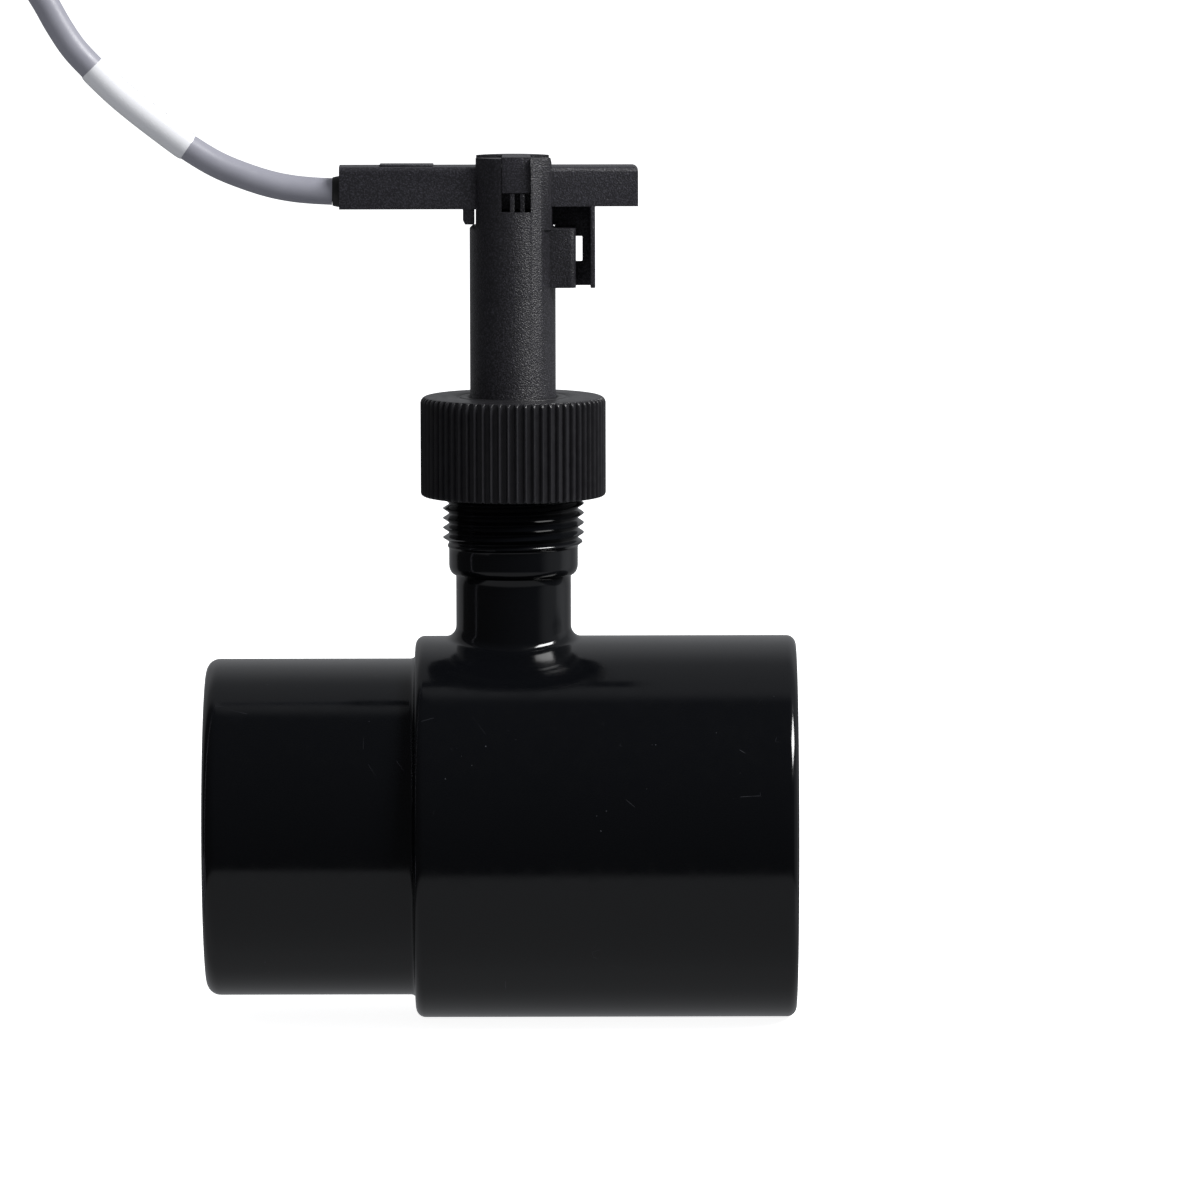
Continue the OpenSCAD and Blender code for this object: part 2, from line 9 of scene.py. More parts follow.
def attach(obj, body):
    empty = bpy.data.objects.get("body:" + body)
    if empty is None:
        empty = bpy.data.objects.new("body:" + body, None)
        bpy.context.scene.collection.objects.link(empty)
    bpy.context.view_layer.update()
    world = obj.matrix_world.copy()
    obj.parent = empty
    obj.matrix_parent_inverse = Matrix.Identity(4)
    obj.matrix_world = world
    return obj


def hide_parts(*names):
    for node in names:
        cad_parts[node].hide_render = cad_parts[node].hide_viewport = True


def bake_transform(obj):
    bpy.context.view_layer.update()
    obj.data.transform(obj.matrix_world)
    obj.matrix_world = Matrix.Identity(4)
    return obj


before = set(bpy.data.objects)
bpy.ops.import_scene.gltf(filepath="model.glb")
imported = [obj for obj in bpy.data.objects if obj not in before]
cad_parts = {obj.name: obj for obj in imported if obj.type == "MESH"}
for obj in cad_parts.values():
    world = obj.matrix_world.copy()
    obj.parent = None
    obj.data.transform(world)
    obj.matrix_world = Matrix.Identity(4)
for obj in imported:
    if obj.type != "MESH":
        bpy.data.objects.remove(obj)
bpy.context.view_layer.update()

MM = 0.001

# Places that the CAD sets, in millimetres: heights are above the pipe axis, the neck's axis is at NECK_X
NECK_X = -14.8
FLOOR_Z = -35.75
BODY_R, SPIGOT_R, PASSAGE_R, SOCKET_R = 35.75, 31.5, 27.0, 31.6
SHOULDER_X, SPIGOT_X, MOUTH_X = -33.2, -72.4, 38.0
NECK_R, NECK_BORE_R, COLLAR_R, THREAD_R = 10.75, 8.0, 12.05, 13.2
COLLAR_Z, COLLAR_ROUND, THREAD_Z, NECK_TOP_Z = 47.5, 1.9, 52.5, 74.2
NUT_R, NUT_Z, NUT_TOP_Z, NUT_WALL_Z = 17.3, 62.3, 80.9, 78.2
NUT_BORE_R, NUT_HOLE_R, NUT_RIBS = 13.5, 8.4, 66
BAR_END_X, GLAND_X, GLAND_Z = -47.0, -48.3, 119.2
CABLE_R = 2.5

# Thread: pitch, height of a root at the neck's right side, and rows of points in one pitch
PITCH = 1.814
THREAD_LEAD_Z = 50.88
THREAD_STEPS = 10

# The cable's route from the carrier to the coil, as part.scad has it
ROUTE = [
    (-48.3, 0, 119.2), (-52, 0, 119.4), (-55.8, 0, 119.8), (-59.8, 0, 120.6), (-64.8, 0, 122.2),
    (-69.8, 0, 124.3), (-75.1, 0, 127.5), (-79.6, 0, 130.8), (-84.5, 0, 134.6), (-88.4, 0, 137.9),
    (-92.9, 0, 142.3), (-96.3, 0, 146), (-99.2, 0, 150.4), (-101.9, 0, 155.2), (-105.8, 0, 160.8),
    (-111.6, -1, 165.2), (-119, -2, 167.2), (-126.6, -4, 166.5), (-133.8, -6, 163.2),
    (-139.4, -8, 157.8), (-142.7, -10, 151), (-143.5, -12, 143.4), (-143, -14, 134),
    (-142, -16, 122), (-140.5, -18, 108), (-138.5, -20, 94), (-136.5, -22, 80),
    (-134, -23, 66), (-131.5, -24, 52), (-128.6, -25, 38), (-126, -25.5, 25),
    (-123.6, -26, 12), (-122, -25.6, 1), (-121.2, -23.4, -8), (-121, -18.6, -15.6),
    (-121, -11.6, -21.1), (-121, -3.5, -23.7), (-121, 3, -23.8),
]
LABEL_FROM, LABEL_TO = 6, 10
COIL_X, COIL_MID_R, COIL_LIFT = -151.5, 28.0, 0.8
COIL_Z = FLOOR_Z + COIL_LIFT + (0.5 + math.sqrt(0.75)) * 2 * CABLE_R
TAIL_END_Y = -25.0


# ---- camera ----

def make_camera():
    """The photograph's view: nearly level, square on to the pipe, from far away."""
    elevation, roll, distance = math.radians(6.25), math.radians(0.12), 1.87
    target = Vector((0.00135, 0, 0.0426))
    back = Vector((0, -math.cos(elevation), math.sin(elevation)))
    data = bpy.data.cameras.new("camera")
    data.lens, data.sensor_width = 300, 36
    data.clip_start, data.clip_end = 0.05, 20
    camera = bpy.data.objects.new("camera", data)
    bpy.context.collection.objects.link(camera)
    camera.location = target + back * distance
    camera.rotation_mode = "QUATERNION"
    camera.rotation_quaternion = (-back).to_track_quat("-Z", "Y") @ Quaternion((0, 0, 1), -roll)
    bpy.context.scene.camera = camera


# ---- shared mesh making ----

def finish_mesh(name, bm, sharp=38):
    """A smooth-shaded object from a bmesh in millimetres, with edges over `sharp` degrees kept crisp."""
    bmesh.ops.remove_doubles(bm, verts=bm.verts, dist=1e-4)
    bmesh.ops.dissolve_degenerate(bm, dist=1e-5, edges=bm.edges)
    bmesh.ops.recalc_face_normals(bm, faces=bm.faces)
    bmesh.ops.scale(bm, vec=(MM, MM, MM), verts=bm.verts)
    mesh = bpy.data.meshes.new(name)
    bm.to_mesh(mesh)
    bm.free()
    mesh.shade_smooth()
    mesh.set_sharp_from_angle(angle=math.radians(sharp))
    piece = bpy.data.objects.new(name, mesh)
    bpy.context.collection.objects.link(piece)
    return piece


def add_grid(bm, rows, wrap=True):
    """Quads between rows of points; every row has as many points as the next."""
    made = [[bm.verts.new(p) for p in row] for row in rows]
    count = len(rows[0])
    for low, high in zip(made, made[1:]):
        for j in range(count if wrap else count - 1):
            k = (j + 1) % count
            bm.faces.new((low[j], low[k], high[k], high[j]))
    return made


def add_helix(bm, rows):
    """Quads between rows that climb one pitch in a turn: the last column meets the first a turn on."""
    made = add_grid(bm, rows, wrap=False)
    ahead = made[THREAD_STEPS:]
    for low, high, next_low, next_high in zip(made, made[1:], ahead, ahead[1:]):
        bm.faces.new((low[-1], next_low[0], next_high[0], high[-1]))


def add_cap(bm, ring):
    bm.faces.new([bm.verts.new(p) for p in ring])


def arc(centre, radius, start, end, steps):
    """Points of an arc in a profile plane, between two angles in degrees."""
    angles = np.radians(np.linspace(start, end, steps + 1))
    return [(centre[0] + radius * math.cos(a), centre[1] + radius * math.sin(a)) for a in angles]


def round_post(x, y, profile, columns):
    """Rows of points round a vertical axis from (radius, height) pairs."""
    angles = np.linspace(0, 2 * math.pi, columns, endpoint=False)
    return [[(x + r * math.cos(a), y + r * math.sin(a), z) for a in angles] for r, z in profile]


def catmull(points, steps):
    """A smooth centripetal curve through the points, with `steps` stretches between each two."""
    p = [np.array(q, float) for q in points]
    p = [2 * p[0] - p[1]] + p + [2 * p[-1] - p[-2]]
    out = []
    for a, b, c, d in zip(p, p[1:], p[2:], p[3:]):
        t0 = 0.0
        t1 = t0 + np.linalg.norm(b - a) ** 0.5
        t2 = t1 + np.linalg.norm(c - b) ** 0.5
        t3 = t2 + np.linalg.norm(d - c) ** 0.5
        for s in range(steps):
            t = t1 + (t2 - t1) * s / steps
            ab = (a * (t1 - t) + b * (t - t0)) / (t1 - t0)
            bc = (b * (t2 - t) + c * (t - t1)) / (t2 - t1)
            cd = (c * (t3 - t) + d * (t - t2)) / (t3 - t2)
            abc = (ab * (t2 - t) + bc * (t - t0)) / (t2 - t0)
            bcd = (bc * (t3 - t) + cd * (t - t1)) / (t3 - t1)
            out.append((abc * (t2 - t) + bcd * (t - t1)) / (t2 - t1))
    out.append(p[-2])
    return out


def tube_rows(path, radii, sides):
    """Rings along a path, carried along without twist. radii is one number or one for each point."""
    path = [np.array(q, float) for q in path]
    radii = [radii] * len(path) if np.isscalar(radii) else radii
    first = path[1] - path[0]
    along_y = abs(first[1]) > 0.9 * np.linalg.norm(first)
    ahead = np.array([1.0, 0.0, 0.0] if along_y else [0.0, 1.0, 0.0])
    rows = []
    for i, (point, radius) in enumerate(zip(path, radii)):
        tangent = path[min(i + 1, len(path) - 1)] - path[max(i - 1, 0)]
        tangent /= np.linalg.norm(tangent)
        side = ahead - tangent * np.dot(ahead, tangent)
        side /= np.linalg.norm(side)
        ahead = side
        up = np.cross(tangent, side)
        rows.append([
            tuple(point + radius * (math.cos(a) * side + math.sin(a) * up))
            for a in np.linspace(0, 2 * math.pi, sides, endpoint=False)
        ])
    return rows


def tube(name, path, radii, sides, sharp=38):
    bm = bmesh.new()
    rows = tube_rows(path, radii, sides)
    add_grid(bm, rows)
    add_cap(bm, rows[0])
    add_cap(bm, rows[-1])
    return finish_mesh(name, bm, sharp)


def softened(node, name, bevel, segments=2):
    """A copy of a CAD node whose crisp edges are rounded a little, as a moulding's are."""
    bm = bmesh.new()
    bm.from_mesh(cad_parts[node].data)
    bmesh.ops.scale(bm, vec=(1 / MM, 1 / MM, 1 / MM), verts=bm.verts)
    bmesh.ops.remove_doubles(bm, verts=bm.verts, dist=1e-3)
    bmesh.ops.dissolve_limit(bm, angle_limit=math.radians(0.6), verts=bm.verts, edges=bm.edges)
    crisp = [e for e in bm.edges if e.is_manifold and e.calc_face_angle(0) > math.radians(28)]
    bmesh.ops.bevel(
        bm, geom=crisp, offset=bevel, segments=segments, profile=0.5,
        affect="EDGES", clamp_overlap=True, loop_slide=True,
    )
    return finish_mesh(name, bm, 50)


def place(piece, body, slot, material, *nodes):
    """Gives a new piece its body and material, and hides the CAD nodes that it stands for."""
    piece.data.materials.clear()
    piece.data.materials.append(material)
    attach(piece, body)
    if nodes:
        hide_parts(*nodes)
    return piece


def dress(node, material):
    """Gives a CAD node that stays its material."""
    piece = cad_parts[node]
    piece.data.materials.clear()
    piece.data.materials.append(material)


# ---- materials ----

class Tree:
    """A node tree, with short calls for the nodes it is built from."""

    def __init__(self, tree):
        self.nodes, self.links = tree.nodes, tree.links

    def put(self, value, socket):
        """Links a node's output to the socket, or sets the socket to a plain value."""
        if hasattr(value, "is_output"):
            self.links.new(value, socket)
        else:
            socket.default_value = value

    def add(self, kind, values=(), **settings):
        node = self.nodes.new(kind)
        for key, value in settings.items():
            setattr(node, key, value)
        for key, value in dict(values).items():
            self.put(value, node.inputs[key])
        return node

    def math(self, operation, a, b):
        return self.add("ShaderNodeMath", {0: a, 1: b}, operation=operation).outputs[0]

    def smooth(self, value, low, high):
        """0 below `low`, 1 above `high` and a soft step between; the other way round if low > high."""
        values = {"Value": value, "From Min": low, "From Max": high}
        return self.add("ShaderNodeMapRange", values, interpolation_type="SMOOTHSTEP").outputs[0]


class Shader(Tree):
    """A material on the Principled shader."""

    def __init__(self, name, base, roughness, specular=0.5, metallic=0.0):
        self.material = bpy.data.materials.new(name)
        self.material.use_nodes = True
        super().__init__(self.material.node_tree)
        self.bsdf = self.nodes["Principled BSDF"]
        self.bsdf.inputs["Base Color"].default_value = (*base, 1)
        self.bsdf.inputs["Roughness"].default_value = roughness
        self.bsdf.inputs["Specular IOR Level"].default_value = specular
        self.bsdf.inputs["Metallic"].default_value = metallic
        self.place = self.nodes.new("ShaderNodeTexCoord").outputs["Object"]

    def height(self):
        return self.add("ShaderNodeSeparateXYZ", {0: self.place}).outputs[2]

    def stretched(self, scale):
        return self.add("ShaderNodeMapping", {"Vector": self.place, "Scale": scale}).outputs[0]

    def noise(self, scale, detail=2.0, rough=0.5, place=None):
        values = {"Vector": place or self.place, "Scale": scale, "Detail": detail, "Roughness": rough}
        return self.add("ShaderNodeTexNoise", values).outputs["Fac"]

    def cells(self, scale, feature="F1"):
        values = {"Vector": self.place, "Scale": scale}
        return self.add("ShaderNodeTexVoronoi", values, feature=feature).outputs["Distance"]

    def remap(self, value, low, high, to_low=0.0, to_high=1.0):
        values = {"Value": value, "From Min": low, "From Max": high, "To Min": to_low, "To Max": to_high}
        return self.add("ShaderNodeMapRange", values, clamp=True).outputs[0]

    def mix(self, factor, a, b):
        """A colour between a and b, each of them a node's output or plain red, green and blue."""
        node = self.nodes.new("ShaderNodeMix")
        node.data_type = "RGBA"
        self.put(factor, node.inputs[0])
        for socket, colour in ((node.inputs[6], a), (node.inputs[7], b)):
            self.put(colour if hasattr(colour, "is_output") else (*colour, 1), socket)
        return node.outputs[2]

    def colour(self, value):
        self.links.new(value, self.bsdf.inputs["Base Color"])

    def roughness(self, value):
        self.links.new(value, self.bsdf.inputs["Roughness"])

    def bump(self, layers):
        """Bumps one on the other: (height, strength, depth in metres) each."""
        normal = None
        for height, strength, depth in layers:
            values = {"Height": height, "Strength": strength, "Distance": depth}
            if normal is not None:
                values["Normal"] = normal
            normal = self.add("ShaderNodeBump", values).outputs[0]
        self.links.new(normal, self.bsdf.inputs["Normal"])


def pvc_material():
    """Glossy black pipe PVC: slow waves in the surface, a few hairlines and pale specks on the body."""
    s = Shader("pvc_gloss_black", (0.0034, 0.0037, 0.0046), 0.14)
    body = s.remap(s.height(), 0.037, 0.0345)
    patch = s.remap(s.noise(40), 0.50, 0.66)
    edges = s.cells(120, "DISTANCE_TO_EDGE")
    hair = s.math("MULTIPLY", s.remap(edges, 0.007, 0.001), s.remap(s.noise(230, 1), 0.62, 0.68))
    scuff = s.math("MULTIPLY", hair, patch)
    speck = s.math("MULTIPLY", s.remap(s.cells(420), 0.060, 0.040), s.remap(s.noise(50), 0.56, 0.62))
    marks = s.math("MAXIMUM", s.math("MULTIPLY", scuff, 0.35), s.math("MULTIPLY", speck, 0.5))
    marks = s.math("MULTIPLY", marks, body)
    tint = s.mix(s.noise(12), (0.0024, 0.0027, 0.0035), (0.0034, 0.0038, 0.0049))
    s.colour(s.mix(marks, tint, (0.12, 0.12, 0.14)))
    haze = s.remap(s.noise(300, 4, 0.6), 0.35, 0.75, 0.10, 0.18)
    s.roughness(s.math("ADD", haze, s.math("MULTIPLY", marks, 0.3)))
    s.bump([
        (s.noise(38, 1, place=s.stretched((0.35, 1, 1))), 0.15, 0.0006),
        (s.noise(900, 3), 0.03, 0.0001),
    ])
    return s.material


def grain_material(name, base, grain, strength, roughness):
    """Glass-filled black moulding with a fine spark-eroded grain."""
    s = Shader(name, base, roughness, 0.5)
    fine = s.noise(grain, 2, 0.6)
    worn = s.remap(s.noise(95, 3), 0.35, 0.7)
    pale = tuple(3.8 * c for c in base)
    s.colour(s.mix(s.remap(fine, 0.46, 0.74), base, pale))
    s.roughness(s.math("ADD", s.remap(fine, 0.3, 0.7, roughness + 0.08, roughness - 0.06),
                       s.math("MULTIPLY", worn, -0.05)))
    s.bump([(fine, strength, 0.00018)])
    return s.material


def nut_material():
    """Satin black nut with faint grain."""
    s = Shader("nut_satin_black", (0.0155, 0.0150, 0.0175), 0.36)
    s.colour(s.mix(s.noise(500, 4), (0.0115, 0.0112, 0.0132), (0.0215, 0.0210, 0.0240)))
    s.roughness(s.remap(s.noise(700, 3), 0.3, 0.7, 0.30, 0.42))
    s.bump([(s.noise(2600, 3, 0.6), 0.12, 0.00008), (s.noise(120, 2), 0.1, 0.0003)])
    return s.material


def cable_material():
    """Satin grey jacket with fine drawing lines and light handling marks."""
    s = Shader("cable_jacket_grey", (0.30, 0.30, 0.345), 0.42)
    s.colour(s.mix(s.noise(160, 4), (0.27, 0.27, 0.315), (0.335, 0.335, 0.38)))
    s.roughness(s.remap(s.noise(420, 3), 0.3, 0.7, 0.34, 0.50))
    s.bump([(s.noise(1400, 3, 0.6), 0.12, 0.00008), (s.noise(90, 2), 0.12, 0.0002)])
    return s.material


def label_material():
    """White film sleeve, smooth, with the faintest unevenness."""
    s = Shader("label_white_film", (0.86, 0.865, 0.89), 0.14)
    s.bsdf.inputs["Coat Weight"].default_value = 0.4
    s.bsdf.inputs["Coat Roughness"].default_value = 0.08
    s.colour(s.mix(s.noise(120, 3), (0.83, 0.835, 0.865), (0.885, 0.89, 0.91)))
    s.roughness(s.remap(s.noise(300, 2), 0.3, 0.7, 0.12, 0.22))
    s.bump([(s.noise(260, 2), 0.06, 0.0003)])
    return s.material


def rubber_material():
    s = Shader("rubber_black", (0.014, 0.014, 0.015), 0.55)
    s.colour(s.mix(s.noise(800, 4), (0.011, 0.011, 0.012), (0.022, 0.022, 0.023)))
    s.bump([(s.noise(3000, 3, 0.6), 0.2, 0.0001)])
    return s.material


def metal_material(name, base, roughness, lines):
    """Metal with fine lines left by drawing or rolling."""
    s = Shader(name, base, roughness, 0.5, 1.0)
    streak = s.noise(60, 3, 0.6, s.stretched(lines))
    pale = tuple(min(1.0, 1.15 * c) for c in base)
    s.colour(s.mix(streak, tuple(0.85 * c for c in base), pale))
    s.roughness(s.remap(streak, 0.3, 0.7, roughness - 0.06, roughness + 0.1))
    s.bump([(streak, 0.12, 0.00005)])
    return s.material


def polymer_material(name, base, spread, roughness):
    """Plain moulded or cast plastic, slightly mottled."""
    s = Shader(name, base, roughness, 0.5)
    dark = tuple(c * (1 - spread) for c in base)
    pale = tuple(c * (1 + spread) for c in base)
    s.colour(s.mix(s.noise(350, 4), dark, pale))
    s.roughness(s.remap(s.noise(600, 3), 0.3, 0.7, roughness - 0.07, roughness + 0.07))
    s.bump([(s.noise(1800, 3), 0.12, 0.0001)])
    return s.material


def glass_material():
    s = Shader("reed_glass_green", (0.80, 0.93, 0.88), 0.03)
    s.bsdf.inputs["Transmission Weight"].default_value = 0.9
    s.bsdf.inputs["IOR"].default_value = 1.5
    s.roughness(s.remap(s.noise(500, 2), 0.3, 0.7, 0.02, 0.08))
    return s.material


# ---- tee ----

# Columns of faces round the pipe, and half the cells along and round the rectangle where the neck joins
TEE_COLUMNS = 192
TEE_STEP = 2 * math.pi / TEE_COLUMNS
PATCH_CELLS_X, PATCH_CELLS_A = 12, 13
SPIGOT_ROUND, BODY_ROUND = 2.6, 1.8


def saddle(angles, pipe_r, neck_r, fillet):
    """For each angle round the neck: the fillet's centre, as the ball that rolls in the corner has it."""
    reach = neck_r + fillet
    out = []
    for a in angles:
        x, y = reach * math.cos(a), reach * math.sin(a)
        out.append(np.array([x, y, math.sqrt((pipe_r + fillet) ** 2 - y * y)]))
    return out


def patch_border(half_x, half_cells_x, half_cells_a, step_a, pipe_r):
    """Points (x, angle) round a rectangle on an unrolled pipe, counter-clockwise from the +x side."""
    nx, na = 2 * half_cells_x, 2 * half_cells_a
    xs = np.linspace(-half_x, half_x, nx + 1)
    al = np.arange(-half_cells_a, half_cells_a + 1) * step_a
    border = [(xs[-1], a) for a in al[half_cells_a:-1]]
    border += [(x, al[-1]) for x in xs[:0:-1]]
    border += [(xs[0], a) for a in al[:0:-1]]
    border += [(x, al[0]) for x in xs[:-1]]
    border += [(xs[-1], a) for a in al[:half_cells_a]]
    return border, xs


def pipe_wall(bm, pipe_r, rows_x, columns, patch):
    """A pipe's wall with a rectangle left out round the neck, at the top of the pipe."""
    half_x, half_cells_a = patch
    step = 2 * math.pi / columns

    def point(x, j):
        return (x, pipe_r * math.sin(j * step), pipe_r * math.cos(j * step))

    for x0, x1 in zip(rows_x, rows_x[1:]):
        inside = x0 > NECK_X - half_x - 1e-6 and x1 < NECK_X + half_x + 1e-6
        for j in range(columns):
            k = j if j < columns / 2 else j - columns
            if inside and -half_cells_a <= k < half_cells_a:
                continue
            quad = (point(x0, j), point(x1, j), point(x1, j + 1), point(x0, j + 1))
            bm.faces.new([bm.verts.new(q) for q in quad])


def neck_patch(bm, border, hole, pipe_r):
    """Fills between the hole's edge and the rectangle, on the unrolled pipe."""
    rows = []
    for t in np.linspace(0, 1, 8):
        row = []
        for (bx, ba), (hx, ha) in zip(border, hole):
            x, a = hx + (bx - hx) * t, ha + (ba - ha) * t
            row.append((NECK_X + x, pipe_r * math.sin(a), pipe_r * math.cos(a)))
        rows.append(row)
    add_grid(bm, rows)


def steps_between(low, high, stops, size):
    """Places from low to high that include the stops and are about `size` apart."""
    marks = [low] + [s for s in stops if low < s < high] + [high]
    out = [low]
    for a, b in zip(marks, marks[1:]):
        n = max(1, round((b - a) / size))
        out += [a + (b - a) * (i + 1) / n for i in range(n)]
    return out


def thread_profile(t):
    """Depth of the thread over one pitch, from 0 at the root to 1 at the crest, rounded at both."""
    flank = abs(2 * (t % 1.0) - 1.0)
    return min(1.0, max(0.0, 1.18 * (1 - flank) - 0.12)) ** 1.15


def thread_rows(angles, low, high, root, crest, lead):
    """Rows on a right-hand helix with a root at height `lead` at angle 0, clamped to low and high."""
    first = math.floor((low - lead) / PITCH) - 1
    turns = math.ceil((high - low) / PITCH) + 2
    runout = 0.8 * PITCH
    rows = []
    for i in range(turns * THREAD_STEPS + 1):
        row = []
        for a in angles:
            turn = (a % (2 * math.pi)) / (2 * math.pi)
            z = lead + (first + i / THREAD_STEPS + turn) * PITCH
            fade = min(1.0, max(0.0, (z - low) / runout), max(0.0, (high - z) / runout))
            r = root + (crest - root) * thread_profile(i / THREAD_STEPS) * fade
            row.append((NECK_X + r * math.cos(a), r * math.sin(a), min(max(z, low), high)))
        rows.append(row)
    return rows


def tee_ends(bm):
    """Ends, edges, socket and the spigot's outside, all turned about the pipe axis."""
    turn = np.linspace(0, 2 * math.pi, TEE_COLUMNS, endpoint=False)

    def rings(profile):
        add_grid(bm, [[(x, r * math.sin(a), r * math.cos(a)) for a in turn] for x, r in profile])

    foot, lip = 0.9, 0.6
    rings([(SPIGOT_X, PASSAGE_R)] + [(SPIGOT_X, SPIGOT_R - SPIGOT_ROUND)]
          + arc((SPIGOT_X + SPIGOT_ROUND, SPIGOT_R - SPIGOT_ROUND), SPIGOT_ROUND, 180, 90, 10)
          + [(x, SPIGOT_R) for x in np.linspace(SPIGOT_X + SPIGOT_ROUND, SHOULDER_X - foot, 20)]
          + arc((SHOULDER_X - foot, SPIGOT_R + foot), foot, 270, 360, 5)
          + arc((SHOULDER_X + BODY_ROUND, BODY_R - BODY_ROUND), BODY_ROUND, 180, 90, 10))
    rings(arc((MOUTH_X - BODY_ROUND, BODY_R - BODY_ROUND), BODY_ROUND, 90, 0, 10)
          + arc((MOUTH_X - lip, SOCKET_R + lip), lip, 0, -90, 4)
          + [(x, SOCKET_R) for x in np.linspace(MOUTH_X - lip, 0, 16)]
          + [(0, PASSAGE_R)])


def neck_fillet(angles, centres, fillet):
    """Rows up the fillet between the body and the neck, from the body's wall to the neck's."""
    rows = []
    for t in np.linspace(0, 1, 9):
        row = []
        for a, c in zip(angles, centres):
            down = -np.array([0, c[1], c[2]]) / (BODY_R + fillet)
            inward = -np.array([math.cos(a), math.sin(a), 0])
            wide = math.acos(max(-1, min(1, float(np.dot(down, inward)))))
            lean = (math.sin((1 - t) * wide) * down + math.sin(t * wide) * inward) / math.sin(wide)
            p = c + fillet * lean
            row.append((NECK_X + p[0], p[1], p[2]))
        rows.append(row)
    return rows


def neck_wall(angles, foot_z):
    """Rows up the neck from the fillet's top, and over the collar to the thread."""
    swell = COLLAR_R - NECK_R
    collar = [(NECK_R, COLLAR_Z - 0.15), (NECK_R + 0.12, COLLAR_Z)]
    collar += [(NECK_R + swell * math.sin(a), COLLAR_Z + COLLAR_ROUND * (1 - math.cos(a)))
               for a in np.radians(range(15, 91, 15))]
    collar += [(COLLAR_R, THREAD_Z - 0.9), (COLLAR_R, THREAD_Z)]
    rows = []
    for t in np.linspace(0, 1, 7)[1:]:
        rows.append([(NECK_X + NECK_R * math.cos(a), NECK_R * math.sin(a), z + (collar[0][1] - z) * t)
                     for a, z in zip(angles, foot_z)])
    for r, z in collar[1:]:
        rows.append([(NECK_X + r * math.cos(a), r * math.sin(a), z) for a in angles])
    return rows


def tee_outside(bm):
    """Body wall with the filleted, threaded neck. Gives the angles of the neck's columns."""
    half_x, fillet = 15.0, 2.2
    border, xs = patch_border(half_x, PATCH_CELLS_X, PATCH_CELLS_A, TEE_STEP, BODY_R)
    angles = [math.atan2(BODY_R * a, x) for x, a in border]
    centres = saddle(angles, BODY_R, NECK_R, fillet)
    hole = [(c[0], math.atan2(c[1], c[2])) for c in centres]
    places = steps_between(SHOULDER_X + BODY_ROUND, MOUTH_X - BODY_ROUND, [NECK_X + x for x in xs], 1.5)
    pipe_wall(bm, BODY_R, places, TEE_COLUMNS, (half_x, PATCH_CELLS_A))
    neck_patch(bm, border, hole, BODY_R)
    add_grid(bm, neck_fillet(angles, centres, fillet) + neck_wall(angles, [c[2] for c in centres]))
    add_helix(bm, thread_rows(angles, THREAD_Z, NECK_TOP_Z, COLLAR_R, THREAD_R, THREAD_LEAD_Z))
    return angles


def tee_inside(bm, outer_angles):
    """Passage with the neck's bore, and the neck's top face out to the thread's root."""
    half_x, step_x, chamfer_r = 12.0, 2.0, 9.6
    border, xs = patch_border(half_x, PATCH_CELLS_X, PATCH_CELLS_A, TEE_STEP, PASSAGE_R)
    angles = [math.atan2(PASSAGE_R * a, x) for x, a in border]
    edge = [(NECK_BORE_R * math.cos(a), NECK_BORE_R * math.sin(a)) for a in angles]
    hole = [(x, math.asin(y / PASSAGE_R)) for x, y in edge]
    places = steps_between(SPIGOT_X, 0, [NECK_X + x for x in xs], step_x)
    pipe_wall(bm, PASSAGE_R, places, TEE_COLUMNS, (half_x, PATCH_CELLS_A))
    neck_patch(bm, border, hole, PASSAGE_R)
    foot_z = [math.sqrt(PASSAGE_R ** 2 - y * y) for _, y in edge]
    rows = [[(NECK_X + x, y, z + (NECK_TOP_Z - z) * t) for (x, y), z in zip(edge, foot_z)]
            for t in np.linspace(0, 1, 10)]
    for r, around in ((chamfer_r, angles), (COLLAR_R, outer_angles)):
        rows.append([(NECK_X + r * math.cos(a), r * math.sin(a), NECK_TOP_Z) for a in around])
    add_grid(bm, rows)


def make_tee():
    bm = bmesh.new()
    tee_ends(bm)
    tee_inside(bm, tee_outside(bm))
    return finish_mesh("tee", bm, 40)


# ---- nut ----

